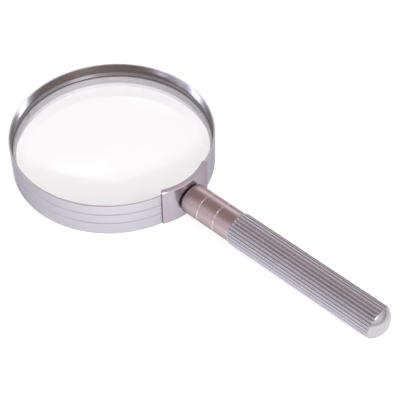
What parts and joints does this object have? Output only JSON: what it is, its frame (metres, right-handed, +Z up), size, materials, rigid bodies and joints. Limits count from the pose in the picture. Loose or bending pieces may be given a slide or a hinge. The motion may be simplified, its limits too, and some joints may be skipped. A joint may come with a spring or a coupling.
{
  "type": "hand lens",
  "caption": "Round biconvex hand lens in a grooved metal rim, with a saddle, a satin ferrule and a fluted, domed handle that screws in.",
  "frame": {"origin": "on the optical axis, in the rim's base plane, at the mouth of the base recess", "axes": "+Z up along the optical axis, +X along the handle, away from the lens; the handle's axis is at z = 9.25 mm"},
  "size_m": [0.2162, 0.1, 0.0209],
  "materials": {
    "rim_metal": "satin outside, dark polished inner wall, bright lens seat",
    "optical_glass": "polished",
    "cushion_fibre": "matt white",
    "ring_metal": "satin, turned",
    "saddle_metal": "semi-bright nickel",
    "screw_steel": "turned steel",
    "washer_rubber": "black",
    "ferrule_metal": "pearl nickel, satin, with polished grooves",
    "stud_steel": "machined",
    "grip_metal": "satin, with a polished dome"
  },
  "bodies": {
    "lens_head": {"rim_barrel": "rim_metal", "lens": "optical_glass", "lens_cushion": "cushion_fibre", "retaining_ring": "ring_metal", "saddle": "saddle_metal", "saddle_screws": "screw_steel", "handle_stud": "stud_steel"},
    "thread_washer": {"handle_washer": "washer_rubber"},
    "handle": {"ferrule": "ferrule_metal", "grip": "grip_metal"}
  },
  "joints": [
    {"name": "handle_travel", "type": "slide", "parent": "lens_head", "child": "thread_washer", "axis": [1, 0, 0], "range_m": [0, 0.008]},
    {"name": "handle_turn", "type": "hinge", "parent": "thread_washer", "child": "handle", "pos_m": [0.05235, 0, 0.00925], "axis": [1, 0, 0], "range_deg": [0, 2880]}
  ],
  "couplings": [
    {"joint": "handle_turn", "follows": "handle_travel", "rad_per_m": 6283.2}
  ]
}
